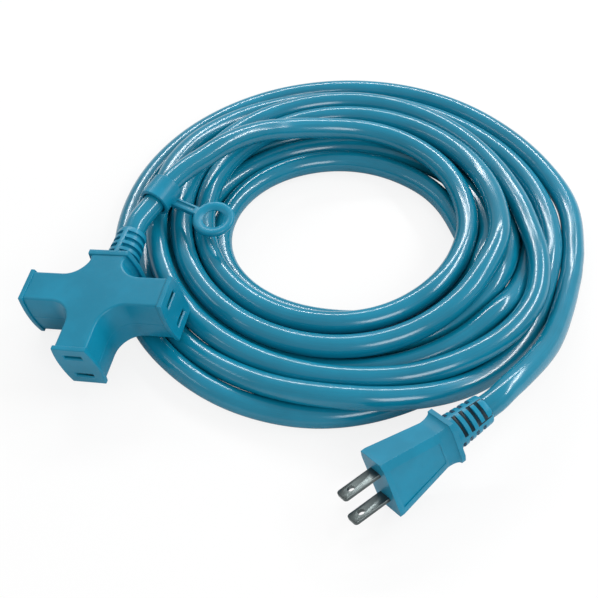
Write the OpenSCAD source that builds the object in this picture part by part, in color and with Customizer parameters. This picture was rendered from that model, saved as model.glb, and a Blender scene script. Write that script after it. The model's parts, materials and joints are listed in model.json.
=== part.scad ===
// Outdoor extension cord: a two-blade plug, a hand-laid coil of round cord,
// a hanging ring on the lead and a cross-shaped tap with three outlets.
// Every piece lies where it rests on a floor at z = 0.

/* [Cord] */
// Diameter of the cord's sheath
cord_d = 10; // [8:0.5:11]
// Gap that each turn of the coil keeps from the next
turn_gap = 0.9; // [0.6:0.1:1.5]

/* [Tap] */
// From the middle of the tap to the face of a side outlet
side_reach = 33.5; // [32:0.5:40]
// From the middle of the tap to the face of the front outlet
front_reach = 31.5; // [30:0.5:40]
// From the middle of the tap to the end of the cord arm
cord_reach = 20; // [20:0.5:26]
// Width of an arm along its top edge
arm_top_w = 14.6; // [14:0.2:16]
// How far the side of an arm bulges at mid height
arm_bulge = 0.9; // [0.6:0.1:1.2]
// Height of the arms
arm_h = 22.8; // [22.6:0.2:26]
// Radius of the hollow corners between the arms
corner_r = 9.5; // [7:0.5:10.5]
// Thickness of an outlet's end plate
plate_t = 2.2; // [2:0.1:3]
// How far an end plate stands proud of its arm
plate_rim = 0.5; // [0.3:0.1:1]
// Width of the flange on the cord arm
flange_w = 20.5; // [19:0.5:24]
// Thickness of the flange on the cord arm
flange_t = 2.6; // [2:0.2:3]
// Thickness of the tap's walls above and below its contacts
wall = 2.2; // [1.6:0.1:2.2]

/* [Contacts] */
// Distance between the middles of the two blades
blade_pitch = 12.7; // [12.7:0.1:13]
// Width of a blade
blade_w = 6.35; // [6:0.05:6.6]
// Thickness of a blade
blade_t = 1.5; // [1.4:0.05:1.6]
// Width of an outlet's slot
slot_w = 8; // [7.4:0.1:8.6]
// Height of an outlet's slot
slot_h = 2; // [1.9:0.1:2.4]
// Thickness of the brass strip
strip_t = 0.8; // [0.6:0.1:0.9]
// Thickness of a clip's spring leaf
leaf_t = 0.6; // [0.5:0.1:0.7]
// Length of a clip's spring leaf
leaf_l = 13; // [11:0.5:14]
// Diameter of a wire with its insulation
wire_d = 3.4; // [3:0.1:3.6]
// Diameter of a wire's bare core
core_d = 2; // [1.6:0.1:2.2]

/* [Plug] */
// Length of the moulded body from its front to its rear face
plug_l = 33.5; // [32:0.5:38]
// Width of the front face
front_w = 27; // [25:0.5:29]
// Thickness of the front face
front_t = 15.5; // [14.5:0.5:17]
// Width of the waist
waist_w = 17.4; // [16.6:0.2:19]
// Thickness of the waist
waist_t = 13; // [12.6:0.2:14]
// Width of the rear flange
rear_w = 19.6; // [18.6:0.2:21]
// Thickness of the rear flange
rear_t = 16; // [15.6:0.2:17]
// Width of the sloping strip along a long edge
edge_w = 3.3; // [2.6:0.1:3.6]
// How far that strip slopes down to the edge
edge_drop = 1.2; // [0.8:0.1:1.6]
// How deep the bare label panel is sunk
panel_sink = 0.4; // [0.2:0.1:0.5]
// Length of a blade in front of the plug
blade_l = 16.5; // [16:0.5:18]
// Diameter of the hole through a blade
blade_hole = 3; // [2.6:0.1:3.4]
// From a blade's tip to the middle of its hole
hole_inset = 5; // [4:0.5:6]

/* [Strain reliefs] */
// Length of a strain relief
relief_l = 17.8; // [16:0.2:22]
// Diameter at its root
relief_root = 15.4; // [15:0.2:15.6]
// Diameter at its cord end
relief_tip = 12.8; // [12:0.2:14]
// Number of slots on one side
relief_slots = 4; // [3:1:4]
// Width of a slot
relief_slot = 2; // [1.4:0.2:2.2]
// Wall that stays over the cord below the slots
relief_skin = 0.5; // [0.4:0.1:0.7]

/* [Hanger] */
// Play between the cord and the bore of the sleeve
sleeve_play = 0.6; // [0.5:0.1:0.9]
// Wall of the sleeve
sleeve_wall = 1.6; // [1.2:0.1:2]
// Length of the sleeve
sleeve_l = 11.5; // [9:0.5:13]
// Outer diameter of the ring
ring_od = 19; // [18:0.5:21]
// Hole in the ring
ring_hole = 9.8; // [8.5:0.1:11]
// Thickness of the ring
ring_t = 3; // [2.4:0.2:3.4]
// From the middle of the sleeve to the middle of the ring
ring_reach = 28; // [26:0.5:32]
// Width of the bar between the sleeve and the ring
bar_w = 4; // [3:0.2:5]

/* [Hidden] */

sheath = "#1e9cb4";
moulding = "#1790b0";
insulator = "#d8d2c0";
brass = "#c9a24a";
nickel = "#c8ccd0";
copper_wire = "#e9e6dc";

eps = 0.01;
cord_r = cord_d / 2;

// ---- Where things rest ----

// Lean of the tap, whose right arm lies over the coil and whose left plate stands on the floor
tap_lean = [8, -12.8, -16];
// Lean of the plug, which stands on one front corner
plug_lean = [-68, 8, 216];
// Plan position of the tap's middle
tap_plan = [0, -2.43];
// Plan position of the middle of the plug's front face
plug_plan = [112.7, -88.4];
// Plan position of the middle of the coil
coil_centre = [106, 46.6];

// Row vectors turned by the three angles of a rotate()
function turn_x(v, a) = [v.x, v.y * cos(a) - v.z * sin(a), v.y * sin(a) + v.z * cos(a)];
function turn_y(v, a) = [v.x * cos(a) + v.z * sin(a), v.y, v.z * cos(a) - v.x * sin(a)];
function turn_z(v, a) = [v.x * cos(a) - v.y * sin(a), v.x * sin(a) + v.y * cos(a), v.z];
function lean(v, a) = turn_z(turn_y(turn_x(v, a.x), a.y), a.z);
function unit(v) = v / norm(v);

plate_top = arm_top_w / 2 + plate_rim;
plate_half_h = arm_h / 2 + plate_rim;
tap_low_points = [
    [-side_reach, -plate_top, -plate_half_h],
    [-plate_top, -front_reach, -plate_half_h]];
tap_at = [tap_plan.x, tap_plan.y, -min([for (p = tap_low_points) lean(p, tap_lean).z])];

plug_low_points = [
    [0, front_w / 2, front_t / 2 - edge_drop],
    [0, front_w / 2, edge_drop - front_t / 2],
    [0, front_w / 2 - edge_w, front_t / 2],
    [blade_l, (blade_pitch + blade_t) / 2, -blade_w / 2]];
plug_at = [plug_plan.x, plug_plan.y, -min([for (p = plug_low_points) lean(p, plug_lean).z])];

tap_cord_dir = lean([0, 1, 0], tap_lean);
tap_cord_exit = tap_at + (cord_reach + relief_l) * tap_cord_dir;
plug_cord_dir = lean([-1, 0, 0], plug_lean);
plug_cord_exit = plug_at + (plug_l + relief_l) * plug_cord_dir;

// ---- The coil's course ----

// Radii of the cord's middle line at the right, far, left and near side of the coil, in the
// order in which the cord was laid: once round outside, then a flat spiral outwards on the
// floor, then a spiral inwards in the valleys of the first layer. They suit a pitch of
// chart_pitch, and the whole chart grows or shrinks with the real one.
turn_pitch = cord_d + turn_gap;
chart_pitch = 10.9;
outer_turn = [103, 117, 105.5, 93.8];
inner_turn = [41.8, 58.5, 57.7, 46.5];
floor_start = [58.25, 69.55, 68.75, 57.55];
floor_step = 11.05;
floor_last = [80.5, 93.6, 91, 94];
rise_turn = [92, 105, 86, 78];
top_start = [75, 94, 75, 66.8];
top_step = [11, 11.2, 11, 12.7];
top_end = [56.6, 67.2];
// Radius that the end of the coil curves towards
end_aim = 43;
coil_chart = turn_pitch / chart_pitch * concat(
    outer_turn,
    inner_turn,
    floor_start,
    [for (q = [0 : 3]) floor_start[q] + floor_step],
    floor_last,
    rise_turn,
    top_start,
    [for (q = [0 : 3]) top_start[q] - top_step[q]],
    top_end,
    end_aim);
// The laying works with twice as many stations as the solid has rings.
stations_per_quarter = 12;
half_turn = 2 * stations_per_quarter;
stations = stations_per_quarter * (len(coil_chart) - 2) + 1;
ring_every = 2;
// Share of a quarter turn over which the radius is averaged
chart_blur = 0.3;
// Radius of the tightest vertical bend of the cord where it climbs over another turn
climb_bend = 60;
climb_reach = 6;
// Steps in which each stretch between stations is measured
steps = 2;
// Height of the cord's middle line where the coil ends and the lead to the tap begins
coil_end_z = 18;
coil_sides = 6;
lead_sides = 10;

function chart_value(i) = coil_chart[min(max(i, 0), len(coil_chart) - 1)];
function chart_curve(t) =
    let (
        c = min(max(t, 0), len(coil_chart) - 1), i = floor(c), f = c - i,
        p = chart_value(i - 1), q = chart_value(i), r = chart_value(i + 1), s = chart_value(i + 2))
    (2 * q + (r - p) * f + (2 * p - 5 * q + 4 * r - s) * f ^ 2 + (3 * q - p - 3 * r + s) * f ^ 3) / 2;
function chart_radius(t) =
    (chart_curve(t - chart_blur) + 2 * chart_curve(t) + chart_curve(t + chart_blur)) / 4;
function coil_plan(i) =
    let (t = i / stations_per_quarter)
    coil_centre + chart_radius(t) * [cos(90 * t), sin(90 * t)];

coil_start_dir = unit(coil_plan(1) - coil_plan(0));
coil_end_dir = unit(coil_plan(stations - 1) - coil_plan(stations - 2));
coil_start = coil_plan(0) - cord_d * coil_start_dir;
coil_end = coil_plan(stations - 1) + cord_d * coil_end_dir;

// Point of a course at a fractional station
function between(course, s) =
    let (i = min(floor(s), len(course) - 2))
    course[i] + (s - i) * (course[i + 1] - course[i]);

// Height at which the cord's middle line clears the laid stretch from station j to j + 1
function over_stretch(p, plan, h, j) =
    let (ap = p - plan[j])
    abs(ap.x) > 30 || abs(ap.y) > 30 ? cord_r :
    let (ab = plan[j + 1] - plan[j], u = min(max(ap * ab / (ab * ab), 0), 1), d = norm(ap - u * ab))
    d >= turn_pitch ? cord_r : h[j] + u * (h[j + 1] - h[j]) + sqrt(turn_pitch ^ 2 - d ^ 2);

// Height at which it clears all that was laid up to a station
function over_laid(p, plan, h, limit) =
    let (m = min(len(h) - 1, limit))
    m < 1 ? cord_r : max([for (j = [0 : m - 1]) over_stretch(p, plan, h, j)]);

// Most that the bent cord rises over the straight line from step k to the next station
function chord_rise(bent, k, side) =
    let (e = k + side * steps)
    e < 0 || e >= len(bent) ? 0 :
    max([for (q = [1 : steps - 1])
        bent[k + side * q] - ((steps - q) * bent[k] + q * bent[e]) / steps]);

// Heights of the laid cord, half a turn at a time. At each step the cord rests on the floor or
// on the turns below it, it bends up no tighter than climb_bend, and a station lies high
// enough for the straight stretches beside it.
function lay(plan, h) =
    let (done = len(h), n = len(plan))
    done >= n ? h :
    let (
        stop = min(n, done + half_turn),
        ahead = min(n - 1, stop + climb_reach),
        last = (ahead - done) * steps,
        p = [for (k = [0 : last]) between(plan, done + k / steps)],
        rest = [for (k = [0 : last]) max(
            ahead == n - 1 && k == last ? coil_end_z : cord_r,
            over_laid(p[k], plan, h, done + floor(k / steps) - stations_per_quarter))],
        reach = climb_reach * steps,
        bent = [for (k = [0 : last]) max([for (j = [max(0, k - reach) : min(last, k + reach)])
            rest[j] - (p[j] - p[k]) * (p[j] - p[k]) / (2 * climb_bend)])],
        next = [for (i = [done : stop - 1])
            let (k = (i - done) * steps)
            bent[k] + max(0, chord_rise(bent, k, -1), chord_rise(bent, k, 1))])
    lay(plan, concat(h, next));

// ---- Courses of the free leads, from the moulding to the coil ----

// The sleeve of the hanger sits on the straight run between these two points.
hanger_run = [[24, 63, 29.7], [16, 49.5, 27.3]];
hanger_at = (hanger_run[0] + hanger_run[1]) / 2;
hanger_axis = unit(hanger_run[1] - hanger_run[0]);

plug_lead = [
    plug_cord_exit,
    plug_cord_exit + 0.7 * cord_d * plug_cord_dir,
    [168.5, -45, 19.5],
    [179, -32, 13.5],
    [189.5, -17, 8.5],
    [198.5, -2, 6],
    [207, 16, 5]];
tap_lead = [
    [83, 109, 21.7],
    [72, 104.8, 25.5],
    [62, 99.5, 28],
    [52.5, 92, 30.2],
    [45, 85, 31.2],
    [38, 78, 31],
    [31, 71.2, 30.8],
    hanger_run[0],
    hanger_run[1]];

function ring_dir(path, i) =
    let (last = len(path) - 1)
    i == 0 ? unit(path[1] - path[0]) :
    i == last ? unit(path[last] - path[last - 1]) :
    unit(unit(path[i + 1] - path[i]) + unit(path[i] - path[i - 1]));

function ring_points(path, i, sides) =
    let (
        t = ring_dir(path, i),
        side = unit([-t.y, t.x, 0]),
        up = cross(t, side))
    [for (k = [0 : sides - 1])
        path[i] + cord_r * (cos(360 * k / sides) * up + sin(360 * k / sides) * side)];

// Round cord along a course, with flat ends square to it
module cord_along(path, sides) {
    n = len(path);
    points = [for (i = [0 : n - 1]) each ring_points(path, i, sides)];
    skin = [for (i = [0 : n - 2]) for (k = [0 : sides - 1])
        let (a = i * sides + k, b = i * sides + (k + 1) % sides)
        each [[a, b, b + sides], [a, b + sides, a + sides]]];
    start = [for (k = [1 : sides - 2]) [0, k + 1, k]];
    end = [for (k = [1 : sides - 2]) [0, k, k + 1] + (n - 1) * sides * [1, 1, 1]];
    polyhedron(points = points, faces = concat(skin, start, end));
}

// Least distance from a point to the stretches of a course before a ring
function course_gap(p, path, limit) = min([for (j = [0 : limit - 1])
    let (ab = path[j + 1] - path[j], ap = p - path[j])
    norm(ap - min(max(ap * ab / (ab * ab), 0), 1) * ab)]);

module coil() {
    plan = [for (i = [0 : stations - 1]) coil_plan(i)];
    h = lay(plan, []);
    rings = [for (i = [0 : ring_every : stations - 1]) [plan[i].x, plan[i].y, h[i]]];
    n = len(rings);
    quarter = stations_per_quarter / ring_every;
    gaps = [for (i = [2 * quarter : n - 2]) for (q = [0, 1 / 3, 2 / 3])
        course_gap(between(rings, i + q), rings, i - quarter) - cord_d];
    echo(least_gap = min(gaps), end_height = rings[n - 1].z, greatest_height = max(h));
    echo(coil_length = sum_length(rings));
    color(sheath) cord_along(concat(
        [[coil_start.x, coil_start.y, rings[0].z]],
        rings,
        [[coil_end.x, coil_end.y, rings[n - 1].z]]), coil_sides);
}

function sum_length(path) = path_sum([for (i = [1 : len(path) - 1]) norm(path[i] - path[i - 1])]);
function path_sum(v, i = 0) = i >= len(v) ? 0 : v[i] + path_sum(v, i + 1);

module lead_to_plug() {
    end = [coil_start.x, coil_start.y, cord_r];
    color(sheath)
        cord_along(concat(plug_lead, [end - 0.5 * cord_d * [coil_start_dir.x, coil_start_dir.y, 0], end]),
            lead_sides);
}

module lead_to_tap() {
    start = [coil_end.x, coil_end.y, coil_end_z];
    color(sheath)
        cord_along(concat(
            [start, start + 0.5 * cord_d * [coil_end_dir.x, coil_end_dir.y, 0]],
            tap_lead,
            [tap_cord_exit + 0.7 * cord_d * tap_cord_dir, tap_cord_exit]),
            lead_sides);
}

// ---- Tap ----

module at_tap() {
    translate(tap_at) rotate(tap_lean) children();
}

// Outline of an end plate: flat above and below, with sides that bulge to mid height
module plate_outline(top_w, h, bulge) {
    side_r = ((h / 2) ^ 2 + bulge ^ 2) / (2 * bulge);
    intersection() {
        square([top_w + 2 * bulge + 1, h], center = true);
        translate([top_w / 2 + bulge - side_r, 0]) circle(r = side_r, $fn = 720);
        translate([side_r - top_w / 2 - bulge, 0]) circle(r = side_r, $fn = 720);
    }
}

// End plate or flange: a section of the given thickness, set along +X
module end_plate(thickness, top_w, h, bulge) {
    rotate([90, 0, 90]) linear_extrude(thickness) plate_outline(top_w, h, bulge);
}

arm_w = arm_top_w + arm_bulge;
corner_at = arm_w / 2 + corner_r;
outlet_turns = [180, 270, 0];
outlet_reach = [side_reach, front_reach, side_reach];
cavity_w = 10.6;
cavity_top = arm_h / 2 - wall;
cavity_back = cord_reach - flange_t - 2.4;
spigot_d = 12.8;
spigot_l = 4;
crimp_l = 5;
plug_spigot_d = 10.8;
fit_gap = 0.15;
flare_r = 1.8;

// Plan of the cross, with hollow corners between its arms
module tap_plan_outline() {
    difference() {
        union() {
            translate([-side_reach + 1, -arm_w / 2]) square([2 * side_reach - 2, arm_w]);
            translate([-arm_w / 2, -front_reach + 1]) square([arm_w, front_reach + cord_reach - 2]);
            square(2 * corner_at, center = true);
            translate([-arm_w / 2 - flare_r, cord_reach - flange_t - flare_r])
                square([arm_w + 2 * flare_r, flare_r + 1]);
        }
        // Hollow flare from the cord arm to its flange
        for (s = [-1, 1])
            translate([s * (arm_w / 2 + flare_r), cord_reach - flange_t - flare_r])
                circle(r = flare_r, $fn = 64);
        for (sx = [-1, 1]) for (sy = [-1, 1])
            translate([sx * corner_at, sy * corner_at]) circle(r = corner_r, $fn = 96);
        for (sx = [-1, 1]) for (sy = [-1, 1])
            translate([sx * (corner_at + corner_r), sy * (corner_at + corner_r)])
                square(2 * corner_r + 0.02, center = true);
    }
}

module tap_body() {
    translate([0, 0, -arm_h / 2]) linear_extrude(arm_h) tap_plan_outline();
    for (i = [0 : 2])
        rotate([0, 0, outlet_turns[i]]) translate([outlet_reach[i] - plate_t, 0, 0])
            end_plate(plate_t, arm_top_w + 2 * plate_rim, arm_h + 2 * plate_rim, arm_bulge);
    rotate([0, 0, 90]) translate([cord_reach - flange_t, 0, 0])
        end_plate(flange_t, flange_w - 2 * arm_bulge, arm_h + 2 * plate_rim, arm_bulge);
}

// Cross-shaped room for the contacts, over a height range
module cross_room(width, side, front, back, z0, z1) {
    translate([-side, -width / 2, z0]) cube([2 * side, width, z1 - z0]);
    translate([-width / 2, -front, z0]) cube([width, front + back, z1 - z0]);
}

module tap_shell() {
    color(moulding) at_tap() difference() {
        tap_body();
        cross_room(cavity_w, side_reach - plate_t, front_reach - plate_t, cavity_back,
            -cavity_top, cavity_top);
        for (i = [0 : 2]) rotate([0, 0, outlet_turns[i]])
            for (s = [-1, 1])
                translate([outlet_reach[i] - plate_t - 1, -slot_w / 2, s * blade_pitch / 2 - slot_h / 2])
                    cube([plate_t + 2, slot_w, slot_h]);
        translate([0, cavity_back - 0.5, 0]) rotate([-90, 0, 0])
            cylinder(d = spigot_d + 2 * fit_gap, h = cord_reach, $fn = 64);
    }
}

// Half of the inner carrier: a cross-shaped tray that holds one bus and its three clips
carrier_w = cavity_w - 2 * fit_gap;
carrier_back = cord_reach - spigot_l - crimp_l - 2.5;
leaf_w = blade_w;
tray_w = leaf_w + 0.5;
leaf_gap = 0.2;
clip_low = blade_pitch / 2 - blade_t / 2 - leaf_gap - leaf_t;
clip_high = blade_pitch / 2 + blade_t / 2 + leaf_gap + leaf_t;
tray_floor = clip_low - strip_t;

module tap_carrier() {
    difference() {
        cross_room(carrier_w, side_reach - plate_t - fit_gap, front_reach - plate_t - fit_gap,
            carrier_back, 0, cavity_top - fit_gap);
        cross_room(tray_w, side_reach, front_reach, carrier_back + 1, tray_floor, cavity_top + 1);
    }
}

module tap_carrier_upper() {
    color(insulator) at_tap() tap_carrier();
}

module tap_carrier_lower() {
    color(insulator) at_tap() mirror([0, 0, 1]) tap_carrier();
}

// Brass bus: a cross of strip with a crimp barrel on its cord arm
strip_w = leaf_w - 1;
crimp_d = core_d + 1.4;
bus_z = tray_floor + strip_t / 2;

module tap_bus() {
    cross_room(strip_w, side_reach - plate_t - 3, front_reach - plate_t - 3, carrier_back,
        tray_floor, tray_floor + strip_t);
    translate([0, carrier_back, bus_z]) rotate([-90, 0, 0]) difference() {
        cylinder(d = crimp_d, h = crimp_l, $fn = 32);
        translate([0, 0, 0.8]) cylinder(d = core_d + 0.1, h = crimp_l, $fn = 32);
    }
}

module tap_line_bus() {
    color(brass) at_tap() tap_bus();
}

module tap_neutral_bus() {
    color(brass) at_tap() mirror([0, 0, 1]) tap_bus();
}

// Spring clip: two leaves joined by a web, with lips that lead the blade in
module clip_profile() {
    lip = 1.6;
    polygon([
        [0, clip_low], [leaf_l, clip_low], [leaf_l, clip_low + leaf_t],
        [leaf_t, clip_low + leaf_t], [leaf_t, clip_high - leaf_t],
        [leaf_l - lip, clip_high - leaf_t], [leaf_l, clip_high - leaf_t + 0.5],
        [leaf_l, clip_high + 0.5], [leaf_l - lip, clip_high], [0, clip_high]]);
}

module clip(i) {
    rotate([0, 0, outlet_turns[i]])
        translate([outlet_reach[i] - plate_t - 0.8 - leaf_l, leaf_w / 2, 0])
            rotate([90, 0, 0]) linear_extrude(leaf_w) clip_profile();
}

module line_clip(i) {
    color(brass) at_tap() clip(i);
}

module neutral_clip(i) {
    color(brass) at_tap() mirror([0, 0, 1]) clip(i);
}

// Insulated wire with its bare end in a crimp, along +Z from the crimp
module wire(length) {
    cylinder(d = core_d, h = crimp_l, $fn = 32);
    translate([0, 0, crimp_l - 0.8]) cylinder(d = wire_d, h = length, $fn = 32);
}

tap_wire_l = cord_reach - spigot_l - (carrier_back + crimp_l);

module tap_wire() {
    translate([0, carrier_back + 0.8, bus_z]) rotate([-90, 0, 0]) wire(tap_wire_l);
}

module tap_line_wire() {
    color(copper_wire) at_tap() tap_wire();
}

module tap_neutral_wire() {
    color(copper_wire) at_tap() mirror([0, 0, 1]) tap_wire();
}

// ---- Strain reliefs, along +Z from the moulding to the cord ----

relief_step = relief_l / (relief_slots + 1);
relief_core = cord_d + 2 * relief_skin;

// Spigot that goes into the moulding, and the tapered sleeve behind it
module relief_sleeve(spigot) {
    translate([0, 0, -spigot_l]) cylinder(d = spigot, h = spigot_l + 1, $fn = 64);
    cylinder(d1 = relief_root, d2 = relief_tip, h = relief_l, $fn = 64);
}

// Ring slots, bridged by one spine above and one below
module tap_strain_relief() {
    spine = 2.4;
    color(moulding) at_tap() translate([0, cord_reach, 0]) rotate([-90, 0, 0]) difference() {
        relief_sleeve(spigot_d);
        for (k = [1 : relief_slots]) translate([0, 0, k * relief_step - relief_slot / 2])
            difference() {
                for (s = [-1, 1])
                    translate([s * (5 + spine / 2) - 5, -10, 0]) cube([10, 20, relief_slot]);
                translate([0, 0, -1]) cylinder(d = relief_core, h = relief_slot + 2, $fn = 64);
            }
    }
}

// Windows across the broad sides, and shorter notches between them on the narrow sides
module plug_strain_relief() {
    color(moulding) at_plug() translate([-plug_l, 0, 0]) rotate([0, -90, 0]) difference() {
        relief_sleeve(plug_spigot_d);
        for (k = [1 : relief_slots]) {
            translate([0, 0, k * relief_step - relief_slot / 2]) difference() {
                for (s = [-1, 1])
                    translate([s * 10 - 5.8, -5, 0]) cube([11.6, 10, relief_slot]);
                translate([0, 0, -1]) cylinder(d = relief_core, h = relief_slot + 2, $fn = 64);
            }
            if (k > 1)
                translate([0, 0, (k - 0.5) * relief_step - relief_slot / 2]) difference() {
                    for (s = [-1, 1])
                        translate([-3.4, s * 10 - 4.6, 0]) cube([6.8, 9.2, relief_slot]);
                    translate([0, 0, -1]) cylinder(d = relief_core, h = relief_slot + 2, $fn = 64);
                }
        }
    }
}

// ---- Plug, with its front face at x = 0 and its blades along +X ----

module at_plug() {
    translate(plug_at) rotate(plug_lean) children();
}

// Half outline that tapers to a waist and flares out to the rear flange
waist_at = 0.78;
flange_at = 0.94;
function flare(front, waist, rear, steps) = concat(
    [[0, front / 2], [-0.06 * plug_l, front / 2]],
    [for (k = [0 : steps])
        let (a = 90 * k / steps)
        [-plug_l * (waist_at + (flange_at - waist_at) * sin(a)),
            waist / 2 + (rear - waist) / 2 * (1 - cos(a))]],
    [[-plug_l, rear / 2]]);

// Outline of the body at one station: flat broad faces with a sloping strip on each long edge
function section(x, w, t) =
    let (a = w / 2 - edge_w, b = w / 2, c = t / 2, d = t / 2 - edge_drop)
    [[x, a, c], [x, b, d], [x, b, -d], [x, a, -c], [x, -a, -c], [x, -b, -d], [x, -b, d], [x, -a, c]];

module plug_body() {
    across = flare(front_w, waist_w, rear_w, 7);
    deep = flare(front_t, waist_t, rear_t, 7);
    n = len(across);
    points = [for (i = [0 : n - 1]) each section(across[i].x, 2 * across[i].y, 2 * deep[i].y)];
    skin = [for (i = [0 : n - 2]) for (k = [0 : 7])
        let (a = 8 * i + k, b = 8 * i + (k + 1) % 8)
        [a, b, b + 8, a + 8]];
    polyhedron(
        points = points,
        faces = concat(skin, [[for (k = [7 : -1 : 0]) k], [for (k = [0 : 7]) 8 * (n - 1) + k]]));
}

// Sunk label panel on each broad face, bare, inside a rib that follows the taper
module plug_panel() {
    rib = 0.5;
    front = 2.6;
    end = waist_at * plug_l - 0.6;
    slope = atan((front_t - waist_t) / 2 / ((waist_at - 0.06) * plug_l));
    narrow = (front_w - waist_w) / 2 / ((waist_at - 0.06) * plug_l);
    near = front_w / 2 - edge_w - rib - narrow * (front - 0.06 * plug_l);
    far = front_w / 2 - edge_w - rib - narrow * (end - 0.06 * plug_l);
    for (s = [-1, 1])
        scale([1, 1, s]) translate([-0.06 * plug_l, 0, front_t / 2 - panel_sink]) rotate([0, -slope, 0])
            translate([0.06 * plug_l, 0, 0]) linear_extrude(2)
                polygon([[-front, near], [-front, -near], [-end, -far], [-end, far]]);
}

plug_room_w = 17;
plug_room_t = 8.6;
plug_room_front = 3;
plug_room_l = 22;
wires_w = blade_pitch + wire_d + 0.6;
bridge_l = 8;
blade_root = bridge_l + plug_room_front;

module plug_shell() {
    color(moulding) at_plug() difference() {
        plug_body();
        plug_panel();
        // Room for the bridge, and the narrower room for the wires behind it
        translate([-plug_room_front - bridge_l - fit_gap, -plug_room_w / 2 - fit_gap, -plug_room_t / 2 - fit_gap])
            cube([bridge_l + 2 * fit_gap, plug_room_w + 2 * fit_gap, plug_room_t + 2 * fit_gap]);
        translate([0, 0, -wire_d / 2 - 0.6]) linear_extrude(wire_d + 1.2)
            polygon([
                [-plug_room_front - 1, wires_w / 2], [-plug_room_front - 1, -wires_w / 2],
                [-0.54 * plug_l, -wires_w / 2], [-plug_room_front - plug_room_l, -wires_w / 2 + 2.1],
                [-plug_room_front - plug_room_l, wires_w / 2 - 2.1], [-0.54 * plug_l, wires_w / 2]]);
        translate([-plug_l - 1, 0, 0]) rotate([0, 90, 0])
            cylinder(d = plug_spigot_d + 2 * fit_gap, h = plug_l - plug_room_front - plug_room_l + 2, $fn = 64);
        for (s = [-1, 1])
            translate([-plug_room_front - 1, s * blade_pitch / 2 - blade_t / 2 - 0.1, -blade_w / 2 - 0.1])
                cube([plug_room_front + 2, blade_t + 0.2, blade_w + 0.2]);
    }
}

// Hard insulator that holds both blades
module plug_bridge() {
    color(insulator) at_plug() difference() {
        translate([-plug_room_front - bridge_l, -plug_room_w / 2, -plug_room_t / 2])
            cube([bridge_l, plug_room_w, plug_room_t]);
        for (s = [-1, 1])
            translate([-plug_room_front - bridge_l - 1, s * blade_pitch / 2 - blade_t / 2, -blade_w / 2])
                cube([bridge_l + 2, blade_t, blade_w]);
    }
}

// Flat blade with a drilled, rounded tip and a crimp barrel on its root
module blade(s) {
    tip_r = 1.5;
    translate([0, s * blade_pitch / 2 + blade_t / 2, 0]) rotate([90, 0, 0]) linear_extrude(blade_t)
        difference() {
            union() {
                translate([-blade_root, -blade_w / 2]) square([blade_l + blade_root - tip_r, blade_w]);
                translate([blade_l - tip_r, -blade_w / 2 + tip_r]) square([tip_r, blade_w - 2 * tip_r]);
                for (e = [-1, 1])
                    translate([blade_l - tip_r, e * (blade_w / 2 - tip_r)]) circle(r = tip_r, $fn = 48);
            }
            translate([blade_l - hole_inset, 0]) circle(d = blade_hole, $fn = 48);
        }
    translate([-blade_root, s * blade_pitch / 2, 0]) rotate([0, -90, 0]) difference() {
        cylinder(d = crimp_d, h = crimp_l, $fn = 32);
        translate([0, 0, 0.8]) cylinder(d = core_d + 0.1, h = crimp_l, $fn = 32);
    }
}

module line_blade() {
    color(nickel) at_plug() blade(-1);
}

module neutral_blade() {
    color(nickel) at_plug() blade(1);
}

// Wire from a blade's crimp, bent in towards the cord
module plug_wire(s) {
    from = blade_root + crimp_l;
    to = plug_l - spigot_l - 0.2;
    translate([-blade_root - 0.8, s * blade_pitch / 2, 0]) rotate([0, -90, 0])
        cylinder(d = core_d, h = crimp_l, $fn = 32);
    bend = [[from, blade_pitch / 2], [from + 3.4, blade_pitch / 2 - 0.8], [to - 3.6, 3.6], [to, 2.8]];
    for (k = [0 : 2])
        hull() for (e = [0, 1])
            translate([-bend[k + e].x, s * bend[k + e].y, 0]) rotate([0, -90, 0])
                cylinder(d = wire_d, h = 0.1, $fn = 24);
}

module plug_line_wire() {
    color(copper_wire) at_plug() plug_wire(-1);
}

module plug_neutral_wire() {
    color(copper_wire) at_plug() plug_wire(1);
}

// ---- Hanger: a sleeve round the lead, with a flat bar and a ring ----

hanger_side = unit(cross([0, 0, 1], hanger_axis));
hanger_up = cross(hanger_axis, hanger_side);
sleeve_od = cord_d + 2 * (sleeve_play + sleeve_wall);
ring_drop = 1.9;

// Local x runs level towards the ring, y up and z along the cord towards the tap
module at_hanger() {
    multmatrix([
        [hanger_side.x, hanger_up.x, hanger_axis.x, hanger_at.x],
        [hanger_side.y, hanger_up.y, hanger_axis.y, hanger_at.y],
        [hanger_side.z, hanger_up.z, hanger_axis.z, hanger_at.z]]) children();
}

module hanger() {
    color(moulding) at_hanger() difference() {
        union() {
            translate([0, 0, -sleeve_l / 2]) cylinder(d = sleeve_od, h = sleeve_l, $fn = 64);
            translate([0, -ring_drop - ring_t / 2, -bar_w / 2])
                cube([ring_reach - ring_hole / 2 - 1.5, ring_t, bar_w]);
            translate([ring_reach, -ring_drop + ring_t / 2, 0]) rotate([90, 0, 0])
                cylinder(d = ring_od, h = ring_t, $fn = 64);
        }
        translate([0, 0, -sleeve_l]) cylinder(d = cord_d + 2 * sleeve_play, h = 2 * sleeve_l, $fn = 64);
        translate([ring_reach, -ring_drop + ring_t, 0]) rotate([90, 0, 0])
            cylinder(d = ring_hole, h = 2 * ring_t, $fn = 64);
        // Channel along the bar, between its two side ribs
        for (s = [-1, 1])
            translate([sleeve_od / 2 + 0.8, -ring_drop + s * ring_t / 2 - 0.7, -bar_w / 4])
                cube([ring_reach - ring_od / 2 - sleeve_od / 2 - 1.4, 1.4, bar_w / 2]);
    }
}

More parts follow.
